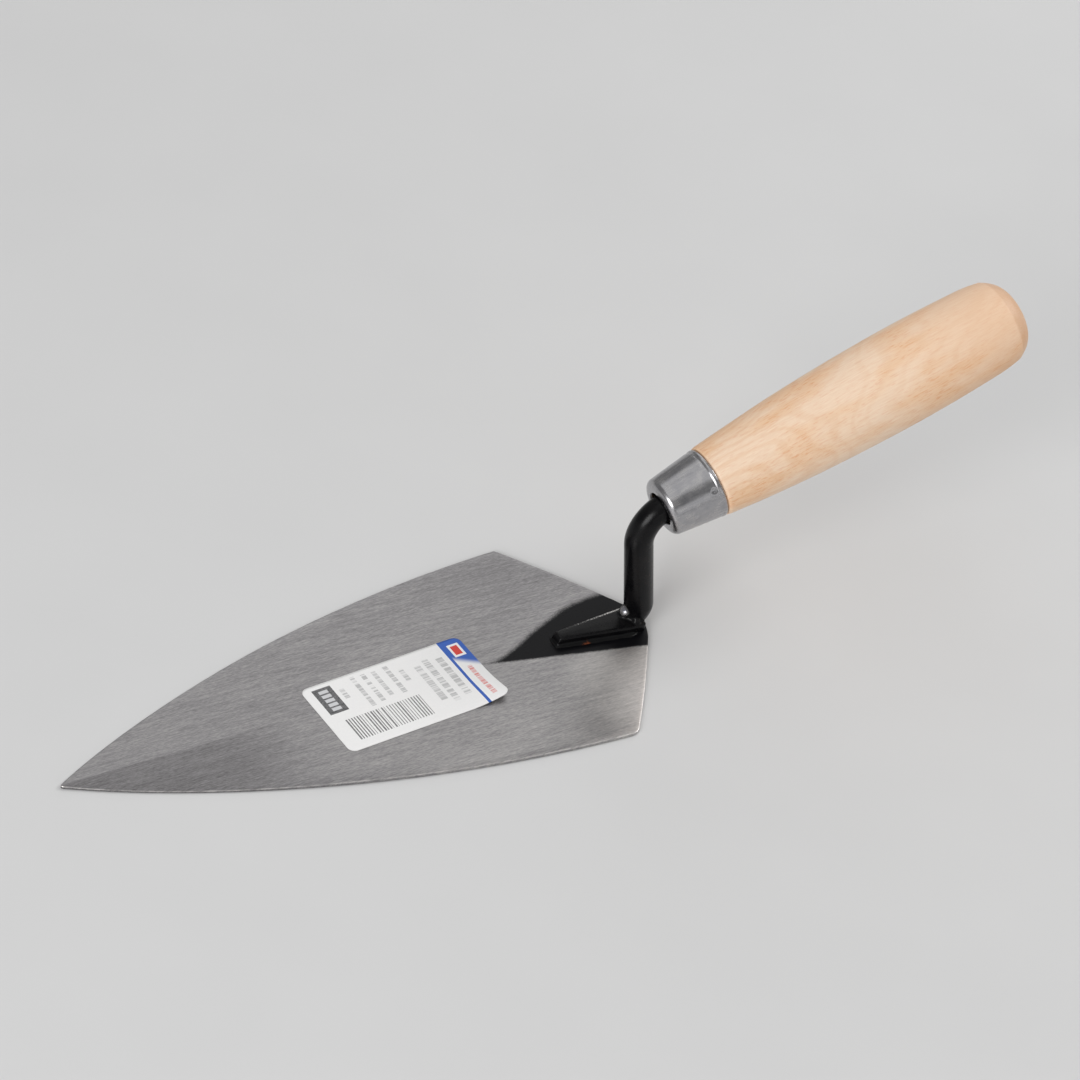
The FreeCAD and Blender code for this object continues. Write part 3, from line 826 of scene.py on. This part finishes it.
def wood_material():
    """Pale turned hardwood: growth rings cut at a slant, warm patches and fine fibres along the grain."""
    m = Shader("pale_wood")
    turn = (0, RISE, 0)
    home = (-JOINT.dot(AXIS), 0, -JOINT.dot(NORMAL))
    along, across, up = m.axes(m.coords((1, 1, 1), turn=turn, shift=home))
    wander = m.noise(m.coords((0.03, 0.07, 0.07), turn=turn, shift=home), 1.0, 0.5)
    # The heart of the tree runs at a slant: it leaves the wood on the left, just behind the ferrule.
    heart_y = m.math("SUBTRACT", m.math("MULTIPLY", along, 0.246), 11.2)
    heart_z = m.math("ADD", m.math("MULTIPLY", along, -0.107), 4.8)
    away = m.length(m.math("SUBTRACT", across, heart_y), m.math("SUBTRACT", up, heart_z))
    away = m.math("ADD", away, m.range(wander, 0.2, 0.8, -3.2, 3.2))
    wave = m.math("SINE", m.math("MULTIPLY", away, math.tau / RING_WIDTH))
    rings = m.math("MULTIPLY", m.range(wave, 0.1, 1.0, smoothly=True), m.range(along, 4.0, 44.0, 0.3, 0.13))
    patches = m.noise(m.coords((0.035, 0.1, 0.1), turn=turn, shift=(50, 6, 2)), 3.0, 0.55)
    warm = m.range(patches, 0.44, 0.66, smoothly=True)
    fibres = m.noise(m.coords((0.12, 2.4, 2.4), turn=turn, shift=(5, 30, 0)), 3.0, 0.65)
    dashes = m.range(m.noise(m.coords((0.34, 3.0, 3.0), turn=turn, shift=(80, 3, 9)), 3.0, 0.62), 0.52, 0.66)
    wood = m.mix(warm, srgb(243, 217, 191), srgb(238, 200, 163))
    wood = m.mix(rings, wood, srgb(226, 178, 134))
    wood = m.mix(m.range(fibres, 0.35, 0.72, 0.0, 0.26), wood, srgb(214, 168, 130))
    wood = m.mix(m.math("MULTIPLY", dashes, m.range(warm, 0, 1, 0.2, 0.62)), wood, srgb(220, 146, 98))
    wood = m.mix(m.range(along, 50.0, 92.0, 0.0, 0.4, smoothly=True), wood, srgb(229, 180, 138))
    # Darker on the rounded end: partly end grain, partly painted shade.
    end_grain_and_shade = m.range(along, BUTT_EDGE[0] - 0.2, BUTT_EDGE[0] + 0.7, smoothly=True)
    wood = m.mix(m.math("MULTIPLY", end_grain_and_shade, 0.35), wood, srgb(196, 146, 106))
    m.set(Base_Color=wood)
    m.set(Roughness=m.range(fibres, 0.3, 0.7, 0.42, 0.56), Specular_IOR_Level=0.4)
    m.set(Normal=m.bump(fibres, 0.05, 0.35))
    return m.material


def window(m, u, v, low_u, high_u, low_v, high_v):
    """1 inside a rectangle of the label."""
    inside_u = m.math("MULTIPLY", m.math("GREATER_THAN", u, low_u), m.math("LESS_THAN", u, high_u))
    inside_v = m.math("MULTIPLY", m.math("GREATER_THAN", v, low_v), m.math("LESS_THAN", v, high_v))
    return m.math("MULTIPLY", inside_u, inside_v)


def greeked(m, v, seed):
    """Broken-up tone along a rule: blurred strokes and gaps that stand for print without being any."""
    place = m.add("CombineXYZ", {0: m.math("MULTIPLY", v, 1.7), 1: seed}).outputs[0]
    return m.range(m.noise(place, 2.0, 0.7), 0.4, 0.56)


def label_material():
    """White paper with a blue band, a plain red badge and rule, bars, a dark block and grey rules."""
    m = Shader("label_print")
    marks = m.add("UVMap", {}, uv_map="print").outputs[0]
    u, v, _ = m.axes(m.add("Mapping", {"Vector": marks, "Scale": (LABEL_LENGTH, LABEL_WIDTH, 1)}).outputs[0])
    tooth = m.noise(m.coords((1.6, 1.6, 1.6)), 3.0, 0.6)
    blue, red, white = srgb(50, 96, 184), srgb(216, 66, 56), srgb(240, 239, 238)
    paper = m.mix(m.range(tooth, 0.3, 0.7, 0.0, 0.35), white, srgb(230, 230, 230))

    height = m.math("ADD", v, m.math("MULTIPLY", m.math("SUBTRACT", u, 47.0), 0.66))
    fade = m.math("MULTIPLY", m.math("GREATER_THAN", u, 44.3), m.range(height, 15.4, 18.2, smoothly=True))
    paper = m.mix(fade, paper, blue)
    paper = m.mix(window(m, u, v, 43.9, 44.8, -1.0, LABEL_WIDTH + 1.0), paper, blue)
    paper = m.mix(window(m, u, v, 45.8, 49.4, 18.6, 23.4), paper, white)
    paper = m.mix(window(m, u, v, 46.5, 48.7, 19.3, 22.7), paper, red)
    rule = m.math("MULTIPLY", window(m, u, v, 46.7, 48.1, 2.2, 14.6), greeked(m, v, 0.0))
    paper = m.mix(m.math("MULTIPLY", rule, 0.75), paper, red)

    ink = m.range(tooth, 0.3, 0.7, 0.8, 0.97)
    cell = m.math("MULTIPLY", u, 1 / BAR_PITCH)
    chance = m.add("TexWhiteNoise", {"W": m.math("FLOOR", cell)}, noise_dimensions="1D").outputs[0]
    printed = m.math("LESS_THAN", m.math("FRACT", cell), m.range(chance, 0, 1, 0.16, 0.6))
    code = m.math("MULTIPLY", m.math("MULTIPLY", printed, ink), window(m, u, v, 4.8, 29.0, 3.0, 10.9))
    paper = m.mix(code, paper, srgb(84, 83, 85))

    block = window(m, u, v, 2.7, 8.5, 14.0, 23.8)
    paper = m.mix(m.math("MULTIPLY", block, ink), paper, srgb(50, 50, 53))
    cells = m.math("LESS_THAN", m.math("FRACT", m.math("MULTIPLY", m.math("SUBTRACT", v, 15.0), 0.6)), 0.7)
    cells = m.math("MULTIPLY", cells, window(m, u, v, 4.2, 7.0, 15.0, 23.0))
    paper = m.mix(cells, paper, srgb(206, 206, 208))

    for middle, height, start, end in LABEL_RULES:
        row = window(m, u, v, middle - height / 2, middle + height / 2, start, end)
        row = m.math("MULTIPLY", m.math("MULTIPLY", row, greeked(m, v, middle)), 0.5)
        paper = m.mix(row, paper, srgb(112, 112, 114))
    m.set(Base_Color=paper)
    m.set(Roughness=m.range(tooth, 0.3, 0.7, 0.42, 0.52), Specular_IOR_Level=0.4)
    m.set(Normal=m.bump(tooth, 0.02, 0.3))
    return m.material


def floor_material():
    """Plain pale floor."""
    m = Shader("studio_floor")
    grain = m.noise(m.coords((0.02, 0.02, 0.02)), 2.0, 0.5)
    m.set(Base_Color=m.mix(grain, (0.64, 0.64, 0.64, 1), (0.67, 0.67, 0.67, 1)))
    m.set(Roughness=0.6, Specular_IOR_Level=0.25)
    return m.material


# ---------------------------------------------------------------- stage: floor, lights and camera
FLOOR_REACH = 3000.0
FLOOR_DROP = 0.02                # keeps the floor clear of the blade's underside
LIGHT_TARGET = Vector((0, 0, 0.03))
WORLD_LIGHT = 0.27
# Name, place and size in metres, and watts.
LIGHTS = [("back_panel", (1.0, 1.15, 0.8), (1.7, 1.0), 3.6),
          ("upper_panel", (0.0, 0.98, 1.39), (1.4, 0.8), 1.6),
          ("top_softbox", (-0.1, -0.1, 1.7), (1.9, 1.9), 5.0),
          ("left_softbox", (-1.35, -0.7, 0.72), (0.95, 0.95), 17),
          ("right_softbox", (1.35, -0.05, 1.0), (0.6, 0.6), 10),
          ("front_fill", (0.35, -1.5, 0.4), (2.2, 0.7), 2.0)]


def add_light(name, place, size, power):
    """Soft elliptical area light that faces the tool."""
    lamp = bpy.data.lights.new(name, "AREA")
    lamp.shape = "ELLIPSE"
    lamp.size, lamp.size_y = size
    lamp.energy = power
    holder = bpy.data.objects.new(name, lamp)
    bpy.context.scene.collection.objects.link(holder)
    place = Vector(place)
    turn = (place - LIGHT_TARGET).to_track_quat("Z", "Y").to_matrix().to_4x4()
    holder.matrix_world = Matrix.Translation(place) @ turn


def add_stage():
    """Floor, even surrounding light and soft area lights."""
    corners = [(-1, -1), (1, -1), (1, 1), (-1, 1)]
    points = [(x * FLOOR_REACH, y * FLOOR_REACH, -FLOOR_DROP) for x, y in corners]
    floor = make_object("studio_floor", points, [(0, 1, 2, 3)], floor_material())
    world = bpy.data.worlds.new("studio")
    world.use_nodes = True
    background = world.node_tree.nodes["Background"]
    background.inputs["Color"].default_value = (1, 1, 1, 1)
    background.inputs["Strength"].default_value = WORLD_LIGHT
    bpy.context.scene.world = world
    for light in LIGHTS:
        add_light(*light)
    bpy.context.scene.view_settings.view_transform = "Standard"


CAMERA_AZIMUTH = math.radians(-39.82)
CAMERA_RISE = math.radians(40.5)
CAMERA_ROLL = math.radians(13.07)
CAMERA_DISTANCE = 1.2736
CAMERA_TARGET = Vector((0.0155, 0.0384, 0.0))
LENS = 153.3


def add_camera():
    """Long lens over the near side of the blade, rolled a little."""
    a, e, r = CAMERA_AZIMUTH, CAMERA_RISE, CAMERA_ROLL
    back = Vector((math.sin(a) * math.cos(e), -math.cos(a) * math.cos(e), math.sin(e)))
    right = Vector((math.cos(a), math.sin(a), 0))
    up = back.cross(right)
    across = right * math.cos(r) + up * math.sin(r)
    upward = up * math.cos(r) - right * math.sin(r)
    lens = bpy.data.cameras.new("camera")
    lens.lens = LENS
    lens.sensor_width = 36
    camera = bpy.data.objects.new("camera", lens)
    bpy.context.scene.collection.objects.link(camera)
    turn = Matrix((across, upward, back)).transposed().to_4x4()
    camera.matrix_world = Matrix.Translation(CAMERA_TARGET + back * CAMERA_DISTANCE) @ turn
    bpy.context.scene.camera = camera


# ---------------------------------------------------------------- build
add_camera()
add_stage()
declare(make_blade(steel_material()), "blade")
declare(make_tang(paint_material()), "tang")
declare(make_seam(seam_material()), "braze_seam")
declare(make_ferrule(ferrule_material()), "ferrule")
declare(make_handle(wood_material()), "handle")
declare(make_label(label_material()), "label")
